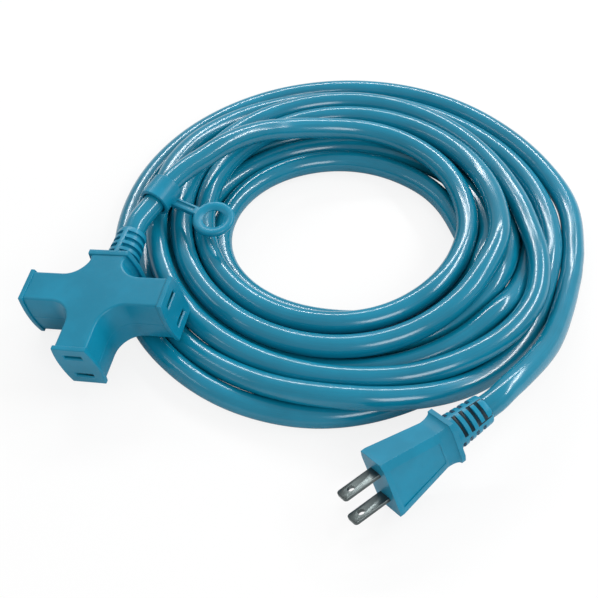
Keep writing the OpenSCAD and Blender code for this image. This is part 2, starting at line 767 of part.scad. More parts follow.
tap_shell();
tap_carrier_upper();
tap_carrier_lower();
tap_line_bus();
tap_neutral_bus();
line_clip(0);  // left_line_clip
neutral_clip(0);  // left_neutral_clip
line_clip(1);  // front_line_clip
neutral_clip(1);  // front_neutral_clip
line_clip(2);  // right_line_clip
neutral_clip(2);  // right_neutral_clip
tap_line_wire();
tap_neutral_wire();
tap_strain_relief();
hanger();
lead_to_tap();
coil();
lead_to_plug();
plug_strain_relief();
plug_shell();
plug_bridge();
line_blade();
neutral_blade();
plug_line_wire();
plug_neutral_wire();
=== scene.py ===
"""Outdoor extension cord: a hand-laid coil with a two-blade plug, a hanging ring and a tap."""

import json
import math

import bmesh
import bpy
import numpy as np
from mathutils import Euler, Matrix, Vector

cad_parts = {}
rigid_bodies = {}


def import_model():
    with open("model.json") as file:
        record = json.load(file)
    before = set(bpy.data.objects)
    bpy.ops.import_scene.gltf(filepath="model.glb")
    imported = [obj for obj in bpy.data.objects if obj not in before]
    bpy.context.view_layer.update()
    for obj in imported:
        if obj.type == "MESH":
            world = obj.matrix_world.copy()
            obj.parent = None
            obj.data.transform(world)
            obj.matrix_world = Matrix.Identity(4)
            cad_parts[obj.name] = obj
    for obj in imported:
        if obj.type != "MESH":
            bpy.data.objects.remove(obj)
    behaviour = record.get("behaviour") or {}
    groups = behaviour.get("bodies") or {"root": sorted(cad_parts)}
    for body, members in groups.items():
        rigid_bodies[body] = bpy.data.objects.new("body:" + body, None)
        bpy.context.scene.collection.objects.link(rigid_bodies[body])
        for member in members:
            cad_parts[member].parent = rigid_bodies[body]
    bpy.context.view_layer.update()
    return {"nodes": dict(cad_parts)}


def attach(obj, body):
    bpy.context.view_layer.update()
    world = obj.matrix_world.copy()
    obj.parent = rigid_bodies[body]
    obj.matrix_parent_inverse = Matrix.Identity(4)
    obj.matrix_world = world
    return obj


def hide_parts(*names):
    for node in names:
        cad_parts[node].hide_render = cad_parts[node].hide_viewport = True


bl_info = {
    "name": "Extension Cord Dresser",
    "version": (1, 0, 0),
    "blender": (4, 5, 0),
    "location": "3D View > Sidebar > Cord",
    "description": "Lays the sheath, moulds the plug, tap and hanger, and lights them",
    "category": "Object",
}

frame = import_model()
NODES = frame["nodes"]
MM = 0.001


# ---------------------------------------------------------------- sizes in millimetres

CORD_DIAMETER = 10
SIDE_REACH, FRONT_REACH, CORD_REACH = 33.5, 31.5, 20
PLUG_LENGTH, RELIEF_LENGTH = 33.5, 17.8
BLADE_LENGTH, BLADE_WIDTH, BLADE_THICK, BLADE_PITCH = 16.5, 6.35, 1.5, 12.7

# Half width and half height of the tap's end plates at their corners
PLATE_CORNER = (7.8, 11.9)

# Width and thickness of the plug's sections, and what the sloping strip takes off each of them
PLUG_FRONT, PLUG_WAIST, PLUG_REAR = (27, 15.5), (17.4, 13), (19.6, 16)
PLUG_STRIP = (3.3, 1.2)

# Shares of the plug's length: where its taper starts and ends, and how far its flare runs
FRONT_SHARE, WAIST_SHARE, FLARE_SHARE = 0.06, 0.78, 0.16


# ---------------------------------------------------------------- settings


def length_setting(name, description, millimetres):
    """Setting that holds a length."""
    return bpy.props.FloatProperty(
        name=name, description=description, default=millimetres * MM, unit="LENGTH"
    )


def colour_setting(name, description, default):
    """Setting that holds a colour."""
    return bpy.props.FloatVectorProperty(
        name=name, description=description, default=default, subtype="COLOR", size=3, min=0, max=1
    )


class CordSettings(bpy.types.PropertyGroup):
    """Sizes of the round cord and of its coil."""

    diameter: length_setting("Diameter", "Outer diameter of the sheath", CORD_DIAMETER)
    pace: length_setting("Pace", "Length between two rings of the sheath's mesh", 2.5)
    climb_bend: length_setting("Climb bend", "Tightest bend where the cord climbs over a turn", 150)
    sheath_colour: colour_setting("Sheath", "Colour of the soft sheath", (0.002, 0.163, 0.26))
    sides: bpy.props.IntProperty(name="Sides", description="Sides of the round sheath", default=24)


class TapSettings(bpy.types.PropertyGroup):
    """Sizes of the cross-shaped tap."""

    side_reach: length_setting("Side reach", "From the middle to a side outlet's face", SIDE_REACH)
    front_reach: length_setting(
        "Front reach", "From the middle to the front outlet's face", FRONT_REACH)
    cord_reach: length_setting(
        "Cord reach", "From the middle to the end of the cord arm", CORD_REACH)
    arm_width: length_setting("Arm width", "Width of an arm along its top edge", 14.2)
    arm_height: length_setting("Arm height", "Height of the arms", 22.8)
    bulge: length_setting("Bulge", "How far an arm's side bulges at mid height", 1.4)
    corner: length_setting("Corner", "Radius of the hollow corners between the arms", 9.5)
    moulding_colour: colour_setting(
        "Moulding", "Colour of the tap, plug and hanger", (0.002, 0.185, 0.3))


class PlugSettings(bpy.types.PropertyGroup):
    """Sizes of the plug and of the strain reliefs."""

    length: length_setting("Length", "From the front face to the rear face", PLUG_LENGTH)
    relief_length: length_setting("Relief length", "Length of a strain relief", RELIEF_LENGTH)
    blade_pitch: length_setting("Blade pitch", "Between the middles of the two blades", BLADE_PITCH)
    blade_length: length_setting(
        "Blade length", "Length of a blade in front of the plug", BLADE_LENGTH)


# ---------------------------------------------------------------- places


def place(at, angles):
    """Matrix that leans a piece by angles in degrees and moves it to a point in millimetres."""
    turn = Euler([math.radians(a) for a in angles], "XYZ").to_matrix().to_4x4()
    return Matrix.Translation(Vector(at) * MM) @ turn


# Middle of the tap and front of the plug on the floor, and the angles at which both lean
TAP_AT, TAP_LEAN = (0, -2.43), (8, -12.8, -16)
PLUG_AT, PLUG_LEAN = (112.7, -88.4), (-68, 8, 216)


def resting(plan, angles, low_points):
    """Place of a leaning piece whose lowest point stands on the floor."""
    turn = place((0, 0, 0), angles)
    lowest = min((turn @ (Vector(p) * MM)).z for p in low_points)
    return place((plan[0], plan[1], -lowest / MM), angles)


TAP_PLACE = resting(
    TAP_AT, TAP_LEAN,
    [(-SIDE_REACH, -PLATE_CORNER[0], -PLATE_CORNER[1]),
     (-PLATE_CORNER[0], -FRONT_REACH, -PLATE_CORNER[1])],
)
PLUG_PLACE = resting(
    PLUG_AT, PLUG_LEAN,
    [(0, PLUG_FRONT[0] / 2, side * (PLUG_FRONT[1] / 2 - PLUG_STRIP[1])) for side in (1, -1)]
    + [(0, PLUG_FRONT[0] / 2 - PLUG_STRIP[0], side * PLUG_FRONT[1] / 2) for side in (1, -1)]
    + [(BLADE_LENGTH, (BLADE_PITCH + BLADE_THICK) / 2, -BLADE_WIDTH / 2)],
)
TAP_EXIT = TAP_PLACE @ Vector((0, (CORD_REACH + RELIEF_LENGTH) * MM, 0))
TAP_DIR = (TAP_PLACE.to_3x3() @ Vector((0, 1, 0))).normalized()
PLUG_EXIT = PLUG_PLACE @ Vector((-(PLUG_LENGTH + RELIEF_LENGTH) * MM, 0, 0))
PLUG_DIR = (PLUG_PLACE.to_3x3() @ Vector((-1, 0, 0))).normalized()
RELIEF_TURN = math.radians(-43)


# ---------------------------------------------------------------- camera and lamps

SENSOR, LENS = 36, 71.64
CAMERA_AT = (0.082, -0.33613, 0.394)
CAMERA_TILT = math.radians(42)

# Name: place, size and power; all lamps aim at one point of the coil
LAMPS = {
    "strip_back": ((0.0, 0.95, 0.75), (1.1, 0.06), 8.0),
    "strip_right": ((0.85, 0.35, 0.75), (1.0, 0.06), 7.0),
    "strip_left": ((-0.9, 0.0, 0.75), (0.9, 0.06), 1.3),
    "front": ((0.5, -0.75, 0.7), (0.5, 0.4), 5.0),
}
LIT_POINT = Vector((0.09, 0.02, 0.0))

# Strength of the white world as light, and how much of the floor glows white to the camera
SKY, FLOOR_GLOW = 0.56, 0.84


# ---------------------------------------------------------------- the cord's course

# The coil follows a chart of its radii in millimetres. FIRST_TURN and NEAR_RIGHT list pairs of a
# quarter turn and a radius, and QUARTERS has one radius for each quarter turn from the fifth on.
COIL_CENTRE = np.array([106, 46.6])
FIRST_TURN = [
    (0, 102.5), (0.5, 111), (0.75, 114.6), (1, 114.6), (1.5, 109), (2, 102), (2.5, 98), (3, 92),
    (3.5, 79), (4, 53.5), (4.5, 54.5),
]
QUARTERS = (
    [58.5, 61, 47.5]
    + [62, 69, 72, 62]
    + [73, 79.5, 82.5, 76]
    + [84, 91, 93, 93]
    + [92, 103, 87, 83]
    + [76, 92.5, 77, 68.5]
    + [65, 81, 67.5, 54.5]
    + [56, 66.5, 43]
)
NEAR_RIGHT = [(19.3, 91), (19.6, 90), (19.83, 89), (23.3, 87), (23.6, 85.5)]
CHART = np.array(
    sorted(FIRST_TURN + list(enumerate(QUARTERS, 5)) + NEAR_RIGHT), float
)
PLUG_LEAD = [
    (162.8, -50.6, 23), (170.8, -41.5, 21.5), (179.8, -29.4, 18), (187, -17, 14),
    (193.9, -0.6, 9.8), (200.8, 19.2, 6.4), (205.6, 37.6, 5),
]
TAP_LEAD = [
    (83, 109, 21.7), (72, 104.8, 25.5), (62, 99.5, 28), (52.5, 92, 30.2), (45, 85, 31.2),
    (38, 78, 31), (31, 71.2, 30.8), (24, 63, 29.7), (16, 49.5, 27.3),
]
# The hanger's sleeve sits on the last stretch of the lead to the tap
HANGER_RUN = [Vector(point) * MM for point in TAP_LEAD[-2:]]
HANGER_AXIS = (HANGER_RUN[1] - HANGER_RUN[0]).normalized()
HANGER_SIDE = Vector((0, 0, 1)).cross(HANGER_AXIS).normalized()
HANGER_UP = HANGER_AXIS.cross(HANGER_SIDE)
HANGER_PLACE = Matrix((
    *zip(HANGER_SIDE, HANGER_UP, HANGER_AXIS, (HANGER_RUN[0] + HANGER_RUN[1]) / 2),
    (0, 0, 0, 1),
))

# Millimetres between points of the course, and how many of them stay as aimed at each end
PACE = 4
HELD_AT_TAP, HELD_AT_PLUG = 26, 29

# Middles and half sizes of the boxes that fill the tap and its relief
TAP_BLOCKS = (
    ((0, 0, 0), (SIDE_REACH, 8.4, PLATE_CORNER[1])),
    ((0, -5.75, 0), (8.4, 25.75, PLATE_CORNER[1])),
    ((0, 18.7, 0), (10.25, 1.3, PLATE_CORNER[1])),
    ((0, 29, 0), (7, 9, 7)),
)

# One round of settling: millimetres that the cord falls, and shares of the way back to its aim,
# to a smoother course and to even spacing
SAG, PULL, STIFFNESS, EVENING = 0.15, 0.02, 0.28, 0.5

# Most that one contact moves a strand, the factor on all such moves, the most that the tap moves
# it, and the gap that stays at the tap
DEEPEST_PUSH, PUSH, TAP_PUSH, SKIN = 0.4, 1.3, 0.5, 0.05

# Sine of the least angle at which strands cross, and the points over which a held end is let go
CROSSING = 0.13
LET_GO = 10


def blend(f, w, a, b, leave, arrive):
    """Cubic over a width w from a to b, at the share f of it, with a slope at each end."""
    return (
        (1 + 2 * f) * (1 - f) ** 2 * a + f * (1 - f) ** 2 * w * leave
        + f**2 * (3 - 2 * f) * b - f**2 * (1 - f) * w * arrive
    )


def lengths(points):
    """Distance from each point to the next."""
    return np.linalg.norm(np.diff(points, axis=0), axis=1)


def columns(function, points):
    """Applies a function to each coordinate of the points."""
    return np.c_[[function(points[:, k]) for k in range(3)]].T


def radius_at(t):
    """Radii of the coil at t quarter turns, on a smooth curve through the chart."""
    x, y = CHART.T
    slope = np.gradient(y, x)
    i = np.clip(np.searchsorted(x, t, side="right") - 1, 0, len(x) - 2)
    w = x[i + 1] - x[i]
    return blend((t - x[i]) / w, w, y[i], y[i + 1], slope[i], slope[i + 1])


def smooth_path(points, spacing):
    """Evenly spaced points on a smooth curve through the given ones."""
    p = np.array(points, float)
    chord = np.r_[0, np.cumsum(lengths(p) ** 0.5)]
    slope = np.zeros_like(p)
    slope[1:-1] = (p[2:] - p[:-2]) / (chord[2:] - chord[:-2])[:, None]
    slope[0] = (p[1] - p[0]) / (chord[1] - chord[0])
    slope[-1] = (p[-1] - p[-2]) / (chord[-1] - chord[-2])
    f = np.arange(0, 1, 0.1)[None, :, None]
    w = np.diff(chord)[:, None, None]
    fine = blend(f, w, p[:-1, None], p[1:, None], slope[:-1, None], slope[1:, None])
    fine = np.r_[fine.reshape(-1, 3), p[-1:]]
    along = np.r_[0, np.cumsum(lengths(fine))]
    at = np.linspace(0, along[-1], max(2, round(along[-1] / spacing)) + 1)
    return columns(lambda values: np.interp(at, along, values), fine)


def pairs_within(points, reach, skip):
    """Numbers (i, j) of the points nearer to each other than reach, i laid after j."""
    step = np.arange(len(points))
    apart = np.linalg.norm(points[:, None] - points[None], axis=2)
    i, j = np.nonzero((apart < reach) & (step[None] - step[:, None] > skip))
    return i, j, apart[i, j]


def stand(path, thick, bend):
    """Lifts every stretch of the path onto those laid before it, from the plug's end on."""
    n, rest = len(path), thick / 2
    i, j, apart = pairs_within(path[:, :2], 0.85 * thick, 12)
    below = {}
    for a, b, need in zip(i, j, np.sqrt(thick**2 - apart**2)):
        below.setdefault(a, []).append((b, need))
    reach = 20
    drop = (np.arange(-reach, reach + 1) * PACE) ** 2 / (2 * bend)
    held = np.r_[0:HELD_AT_TAP, n - HELD_AT_PLUG:n]
    low = np.full(n, float(rest))
    low[held] = path[held, 2]
    height = low.copy()
    last = n - HELD_AT_PLUG - 1
    while last >= HELD_AT_TAP:
        first = max(HELD_AT_TAP, last - reach + 1)
        for k in range(last, max(HELD_AT_TAP, first - reach) - 1, -1):
            under = ((height if b > k else low)[b] + need for b, need in below.get(k, ()))
            low[k] = max([rest, *under])
        for k in range(last, first - 1, -1):
            a, b = max(0, k - reach), min(n, k + reach + 1)
            height[k] = (low[a:b] - drop[a - k + reach:b - k + reach]).max()
        last = first - 1
    out = path.copy()
    free = slice(HELD_AT_TAP, n - HELD_AT_PLUG)
    out[free, 2] = height[free]
    return out


def push_apart(p, tangent, i, j, thick):
    """Moves that part the strands which press into each other, spread along the cord."""
    gap = p[i] - p[j]
    apart = np.linalg.norm(gap, axis=1)
    hit = apart < thick
    a, b, gap, deep = i[hit], j[hit], gap[hit], (thick - apart[hit])[:, None]
    ta, tb = tangent[a], tangent[b]
    crossing = np.abs(ta[:, 0] * tb[:, 1] - ta[:, 1] * tb[:, 0]) > CROSSING
    flat = np.linalg.norm(gap[:, :2], axis=1)
    gap[crossing, 2] = np.maximum(gap[crossing, 2], 0.8 * flat[crossing] + 1)
    push = gap / np.linalg.norm(gap, axis=1)[:, None] * np.minimum(deep / 2, DEEPEST_PUSH)
    total, count = np.zeros_like(p), np.zeros(len(p))
    for ends, share in ((a, push), (b, -push)):
        np.add.at(total, ends, share)
        np.add.at(count, ends, 1)
    total /= np.maximum(count, 1)[:, None]
    spread = (0.12, 0.3, 0.6, 0.8, 0.6, 0.3, 0.12)
    return PUSH * columns(lambda values: np.convolve(values, spread, "same"), total)


def off_the_tap(p, thick, free):
    """Points moved out of the tap's blocks, where they are free to move."""
    into_tap = np.array(TAP_PLACE.inverted().to_3x3())
    tap_at = np.array(TAP_PLACE.translation) / MM
    q = (p - tap_at) @ into_tap.T
    for middle, half in TAP_BLOCKS:
        r = q - middle
        out = np.maximum(np.abs(r) - half, 0)
        dist = np.linalg.norm(out, axis=1)
        near = (dist < thick / 2 + SKIN) & free
        away = np.sign(r[near]) * out[near] / np.maximum(dist[near], 1e-6)[:, None]
        away[dist[near] < 1e-6] = (0, 0, -1)
        q[near] += away * np.minimum(thick / 2 + SKIN - dist[near], TAP_PUSH)[:, None]
    return np.where(free[:, None], q @ into_tap + tap_at, p)


def to_middle(p):
    """From each inner point to the middle between its neighbours."""
    return (p[2:] + p[:-2]) / 2 - p[1:-1]


def settle(path, aim, thick, rounds=240):
    """Lets the laid path sag, touch and straighten as a soft cord does, near where it was aimed."""
    p, n = path.copy(), len(path)
    move = np.ones(n)
    move[:HELD_AT_TAP] = move[n - HELD_AT_PLUG:] = 0
    free = move > 0
    ease = move.copy()
    for k in range(LET_GO):
        ease[HELD_AT_TAP + k] = ease[n - HELD_AT_PLUG - 1 - k] = (k + 1) / (LET_GO + 1)
    move, ease = move[:, None], ease[:, None]
    pad = 12
    weights = np.exp(-0.5 * (np.arange(-pad, pad + 1) / 4) ** 2)
    weights /= weights.sum()

    def blurred(a):
        b = np.r_[2 * a[:1] - a[pad:0:-1], a, 2 * a[-1:] - a[-2:-pad - 2:-1]]
        return columns(lambda values: np.convolve(values, weights, "valid"), b)

    for turn in range(rounds):
        if turn % 10 == 0:
            i, j, _ = pairs_within(p, thick + 4, 8)
        if turn < 0.85 * rounds:
            p[:, 2:] -= SAG * ease
            p[:, :2] += PULL * ease * (aim[:, :2] - p[:, :2])
        stray = p - aim
        stray[:, 2] = p[:, 2]
        p += STIFFNESS * ease * (blurred(stray) - stray)
        tangent = np.gradient(p, axis=0)
        tangent /= np.linalg.norm(tangent, axis=1)[:, None]
        even = np.zeros_like(p)
        even[1:-1] = to_middle(p)
        p += EVENING * move * (even * tangent).sum(1)[:, None] * tangent
        for _ in range(3):
            p += push_apart(p, tangent, i, j, thick) * move
            p = off_the_tap(p, thick, free)
            p[:, 2] = np.where(free, np.maximum(p[:, 2], thick / 2), p[:, 2])
    p[:, :2] = aim[:, :2] + ease * (p[:, :2] - aim[:, :2])
    for _ in range(2):
        p[1:-1] += 0.5 * to_middle(p) * (ease[1:-1] > 0)
    return p


def cord_course(settings):
    """Middle line of the whole cord in metres, from the tap's relief to the plug's."""
    thick = settings.diameter / MM
    turns = np.arange(0, CHART[-1, 0] - 1 + 1e-6, 1 / 6)
    radii, angle = radius_at(turns), np.radians(90 * turns)
    coil = np.c_[COIL_CENTRE + radii[:, None] * np.c_[np.cos(angle), np.sin(angle)],
                 np.full(len(turns), thick / 2)]
    plug_exit, plug_dir = np.array(PLUG_EXIT) / MM, np.array(PLUG_DIR)
    tap_exit, tap_dir = np.array(TAP_EXIT) / MM, np.array(TAP_DIR)
    inside, straight = 2, 7
    points = (
        [plug_exit - inside * plug_dir, plug_exit + straight * plug_dir]
        + PLUG_LEAD + list(coil[1:]) + TAP_LEAD
        + [tap_exit + straight * tap_dir, tap_exit - inside * tap_dir]
    )
    aim = smooth_path(points, PACE)[::-1]
    laid = settle(stand(aim, thick, settings.climb_bend / MM), aim, thick)
    return smooth_path(laid, settings.pace / MM) * MM


# ---------------------------------------------------------------- mesh tools


def clear_selection():
    """Object mode with nothing selected."""
    if bpy.context.mode != "OBJECT":
        bpy.ops.object.mode_set(mode="OBJECT")
    bpy.ops.object.select_all(action="DESELECT")


def take(obj):
    """Makes an object the only selected and active one."""
    clear_selection()
    obj.select_set(True)
    bpy.context.view_layer.objects.active = obj
    return obj


def new_object(name, bm):
    """The only selected object, with the mesh that was built."""
    clear_selection()
    mesh = bpy.data.meshes.new(name)
    bm.to_mesh(mesh)
    bm.free()
    obj = bpy.data.objects.new(name, mesh)
    bpy.context.scene.collection.objects.link(obj)
    return take(obj)


def sheet_of(name, points):
    """Object with one face along an outline of (x, y) points in metres."""
    bm = bmesh.new()
    bm.faces.new([bm.verts.new((*p, 0)) for p in points])
    bm.normal_update()
    return new_object(name, bm)


def build_up(obj, steps):
    """Raises the object's face step by step: each step insets it and lifts it."""
    take(obj)
    bpy.ops.object.mode_set(mode="EDIT")
    bpy.ops.mesh.select_mode(type="FACE")
    bpy.ops.mesh.select_all(action="SELECT")
    for inset, lift in steps:
        if inset == 0:
            bpy.ops.mesh.extrude_region_move(TRANSFORM_OT_translate={"value": (0, 0, lift)})
        else:
            bpy.ops.mesh.inset(thickness=inset, depth=lift, use_boundary=True, use_even_offset=True)
    bpy.ops.object.mode_set(mode="OBJECT")
    return obj


def drop_base(obj):
    """Deletes the faces left at z = 0, so that a mirrored half closes there."""
    bm = bmesh.new()
    bm.from_mesh(obj.data)
    flat = [f for f in bm.faces if all(abs(v.co.z) < 1e-7 for v in f.verts)]
    bmesh.ops.delete(bm, geom=flat, context="FACES_ONLY")
    bm.to_mesh(obj.data)
    bm.free()


def apply(obj, kind, **settings):
    """Adds a modifier, sets it and applies it."""
    take(obj)
    mod = obj.modifiers.new(kind.title(), kind)
    for key, value in settings.items():
        setattr(mod, key, value)
    bpy.ops.object.modifier_apply(modifier=mod.name)
    return obj


def doubled(obj):
    """Mirrors a half through z = 0 into a closed piece."""
    drop_base(obj)
    apply(obj, "MIRROR", use_axis=(False, False, True), use_mirror_merge=True, merge_threshold=1e-6)
    recalculate(obj)
    return obj


def recalculate(obj):
    """Merges doubles and turns all faces outwards."""
    take(obj)
    bpy.ops.object.mode_set(mode="EDIT")
    bpy.ops.mesh.select_all(action="SELECT")
    bpy.ops.mesh.remove_doubles(threshold=1e-7)
    bpy.ops.mesh.normals_make_consistent(inside=False)
    bpy.ops.object.mode_set(mode="OBJECT")


def move(obj, matrix):
    """Moves the mesh itself, so that its object stays at the origin."""
    obj.data.transform(matrix)
    obj.data.update()
    return obj


def combine(obj, other, operation="UNION"):
    """Boolean of two objects; the second one goes."""
    apply(obj, "BOOLEAN", object=other, operation=operation, solver="MANIFOLD")
    bpy.data.objects.remove(other)
    if not obj.data.polygons:
        raise RuntimeError(f"{obj.name}: the cut left nothing")
    return obj


def carve(obj, cutter):
    """Cuts one object out of another."""
    return combine(obj, cutter, "DIFFERENCE")


def block(name, low, high, round_by=0.0, segments=3):
    """Box between two corners in metres, with rounded edges if wanted."""
    clear_selection()
    low, high = Vector(low), Vector(high)
    bpy.ops.mesh.primitive_cube_add(size=1)
    obj = bpy.context.object
    obj.name = name
    move(obj, Matrix.Translation((low + high) / 2) @ Matrix.Diagonal((*(high - low), 1)))
    if round_by:
        apply(obj, "BEVEL", width=round_by, segments=segments, limit_method="NONE")
    return obj


def turned(name, profile, segments=64):
    """Solid of revolution about Z from (radius, height) points that start and end on the axis
    or form a closed loop."""
    bm = bmesh.new()
    verts = [bm.verts.new((r, 0, z)) for r, z in profile]
    edges = [bm.edges.new((a, b)) for a, b in zip(verts, verts[1:])]
    if profile[0][0] > 0:
        edges.append(bm.edges.new((verts[-1], verts[0])))
    bmesh.ops.spin(
        bm, geom=verts + edges, axis=(0, 0, 1), cent=(0, 0, 0), steps=segments, angle=math.tau
    )
    bmesh.ops.remove_doubles(bm, verts=bm.verts, dist=1e-7)
    bmesh.ops.recalc_face_normals(bm, faces=bm.faces)
    return new_object(name, bm)


def rod(radius, half, segments):
    """Cylinder about Z, used as a drill."""
    return turned("rod", [(0, -half), (radius, -half), (radius, half), (0, half)], segments)


def skin(bm, rings):
    """Faces over rings of points that all have the same count, closed at both ends."""
    rows = [[bm.verts.new(p) for p in ring] for ring in rings]
    n = len(rings[0])
    sides = [
        bm.faces.new((a[k], a[(k + 1) % n], b[(k + 1) % n], b[k]))
        for a, b in zip(rows, rows[1:]) for k in range(n)
    ]
    bm.faces.new(rows[0][::-1])
    bm.faces.new(rows[-1])
    return sides


def loft(name, rings):
    """Closed skin over rings of points that all have the same count."""
    bm = bmesh.new()
    skin(bm, rings)
    bmesh.ops.recalc_face_normals(bm, faces=bm.faces)
    return new_object(name, bm)


def smooth(obj, angle):
    """Shades smooth, apart from edges sharper than an angle in degrees."""
    take(obj)
    bpy.ops.object.shade_smooth_by_angle(angle=math.radians(angle))
    return obj


def rounded_box_outline(w, h, r, steps=5):
    """Outline of a rounded rectangle, counted anticlockwise."""
    pts = []
    for cx, cy, a0 in ((1, 1, 0), (-1, 1, 90), (-1, -1, 180), (1, -1, 270)):
        for k in range(steps + 1):
            a = math.radians(a0 + 90 * k / steps)
            pts.append((cx * (w / 2 - r) + r * math.cos(a), cy * (h / 2 - r) + r * math.sin(a)))
    return pts


def barrel_outline(top, h, bulge, steps=14):
    """Outline with flat ends above and below and sides that bulge to mid height."""
    pts = []
    for side in (1, -1):
        for k in range(steps + 1):
            y = -h / 2 + h * k / steps
            x = top / 2 + bulge * (1 - (2 * y / h) ** 2)
            pts.append((side * x, side * y))
    return pts


def finish_piece(obj, name, slot, body, *nodes):
    """Names a piece, gives it its finish and lets it ride on its body."""
    obj.name = name
    obj.data.name = name
    dress(obj, slot)
    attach(obj, body)
    if nodes:
        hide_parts(*nodes)
    return obj


def dress(obj, kind):
    """Gives an object one material, and no other."""
    obj.data.materials.clear()
    obj.data.materials.append(finish(kind))


# ---------------------------------------------------------------- finishes


class Wire:
    """Shader socket that takes part in Python expressions."""

    def __init__(self, tree, socket):
        self.tree, self.socket = tree, socket

    def math(self, operation, *values):
        """Math node over the values, as a new wire."""
        node = self.tree.node("ShaderNodeMath", {"operation": operation}, list(values))
        return Wire(self.tree, node.outputs[0])

    def __add__(self, other):
        return self.math("ADD", self, other)

    __radd__ = __add__

    def __mul__(self, other):
        return self.math("MULTIPLY", self, other)

    __rmul__ = __mul__

    def clamp(self, low, high):
        """No less than low and no more than high."""
        return self.math("MINIMUM", self.math("MAXIMUM", self, low), high)

    def band(self, low, high):
        """0 below low, 1 above high, smooth between."""
        node = self.tree.node(
            "ShaderNodeMapRange", {"interpolation_type": "SMOOTHSTEP"},
            {"Value": self, "From Min": low, "From Max": high}
        )
        return Wire(self.tree, node.outputs[0])


class Finish:
    """Node material with one principled shader."""

    def __init__(self, name):
        self.material = bpy.data.materials.new(name)
        self.material.use_nodes = True
        self.nodes = self.material.node_tree.nodes
        self.links = self.material.node_tree.links
        self.shader = self.nodes["Principled BSDF"]

    def node(self, kind, settings=None, inputs=None):
        """Any node: its settings are set first, then the values or links of its sockets."""
        n = self.nodes.new(kind)
        for key, value in (settings or {}).items():
            setattr(n, key, value)
        pairs = inputs.items() if isinstance(inputs, dict) else enumerate(inputs or [])
        for key, value in pairs:
            self.feed(n.inputs[key], value)
        return n

    def feed(self, socket, value):
        """Links a wire or a socket to a socket, or sets its value."""
        if isinstance(value, Wire):
            self.links.new(value.socket, socket)
        elif isinstance(value, bpy.types.NodeSocket):
            self.links.new(value, socket)
        else:
            socket.default_value = value

    def set(self, **values):
        """Feeds sockets of the shader by name, with _ for a space."""
        for key, value in values.items():
            self.feed(self.shader.inputs[key.replace("_", " ")], value)
        return self

    def place(self, scale=(1, 1, 1)):
        """Object coordinates in metres, stretched by a scale."""
        at = self.node("ShaderNodeTexCoord").outputs["Object"]
        return self.node("ShaderNodeMapping", None, {"Vector": at, "Scale": scale}).outputs[0]

    def noise(self, at, scale, detail, rough):
        """Noise from 0 to 1, as a wire."""
        n = self.node(
            "ShaderNodeTexNoise", None,
            {"Vector": at, "Scale": scale, "Detail": detail, "Roughness": rough}
        )
        return Wire(self, n.outputs[0])

    def mix(self, factor, a, b):
        """Mix of two colours."""
        n = self.node("ShaderNodeMix", {"data_type": "RGBA"}, {"Factor": factor})
        self.feed(n.inputs[6], a if isinstance(a, (Wire, bpy.types.NodeSocket)) else (*a, 1))
        self.feed(n.inputs[7], b if isinstance(b, (Wire, bpy.types.NodeSocket)) else (*b, 1))
        return n.outputs[2]

    def bump(self, height, depth, strength):
        """Relief of a depth in metres, fed to the shader's normal."""
        n = self.node(
            "ShaderNodeBump", None, {"Height": height, "Distance": depth, "Strength": strength}
        )
        self.set(Normal=n.outputs[0])
        return self


def shade(colour, k):
    """A colour made k times as bright."""
    return tuple(min(1.0, c * k) for c in colour)


SCUFFED = (0.06, 0.34, 0.45)


def soft_sheath(colour):
    """Glossy soft plastic, drawn lengthwise, with faint handling marks."""
    f = Finish("sheath_soft_plastic")
    uv = f.node("ShaderNodeUVMap", {"uv_map": "along"}).outputs[0]
    drawn = f.node("ShaderNodeMapping", None, {"Vector": uv, "Scale": (60, 4, 1)}).outputs[0]
    at = f.place()
    cloud = f.noise(at, 28, 3, 0.6)
    lines = f.noise(drawn, 1.0, 3, 0.6)
    dust = f.noise(at, 1400, 2, 0.5)
    tone = (cloud * 0.65 + lines * 0.35).band(0.3, 0.7)
    base = f.mix(tone, shade(colour, 0.86), shade(colour, 1.13))
    scuff = f.noise(at, 160, 5, 0.75).band(0.64, 0.76)
    base = f.mix(scuff * 0.15, base, SCUFFED)
    f.set(
        Base_Color=base,
        Roughness=(0.14 + 0.05 * cloud + 0.1 * scuff + 0.03 * lines).clamp(0.1, 0.5),
        Specular_IOR_Level=0.5,
    )
    return f.bump(lines * 0.5 + dust * 0.25 + cloud * 0.6, 0.008 * MM, 0.5).material


def moulded(colour, name="moulded_plastic"):
    """Satin moulded plastic with fine grain, a cloudy tone and pale worn scuffs."""
    f = Finish(name)
    at = f.place()
    cloud = f.noise(at, 45, 3, 0.6)
    grain = f.noise(at, 2600, 2, 0.6)
    peel = f.noise(at, 380, 2, 0.5)
    base = f.mix(cloud.band(0.3, 0.7), shade(colour, 0.9), shade(colour, 1.1))
    scuff = f.noise(at, 210, 5, 0.75).band(0.62, 0.76)
    base = f.mix(scuff * 0.15, base, SCUFFED)
    f.set(
        Base_Color=base,
        Roughness=(0.27 + 0.1 * cloud + 0.15 * scuff + 0.05 * grain).clamp(0.2, 0.7),
        Specular_IOR_Level=0.3,
    )
    return f.bump(grain * 0.25 + peel * 0.75, 0.07 * MM, 0.5).material


def plated(name, colour, rough, scratch):
    """Metal with lengthwise scratches of a depth in metres and a cloudy polish."""
    f = Finish(name)
    at = f.place()
    fine = f.noise(f.place((240, 240, 2600)), 1.0, 4, 0.7)
    cloud = f.noise(at, 120, 3, 0.6)
    base = f.mix(cloud.band(0.3, 0.75), shade(colour, 0.82), shade(colour, 1.08))
    f.set(
        Base_Color=base,
        Roughness=(rough + 0.12 * cloud + 0.1 * fine).clamp(0.08, 0.8),
        Metallic=1.0,
    )
    return f.bump(fine, scratch, 0.5).material


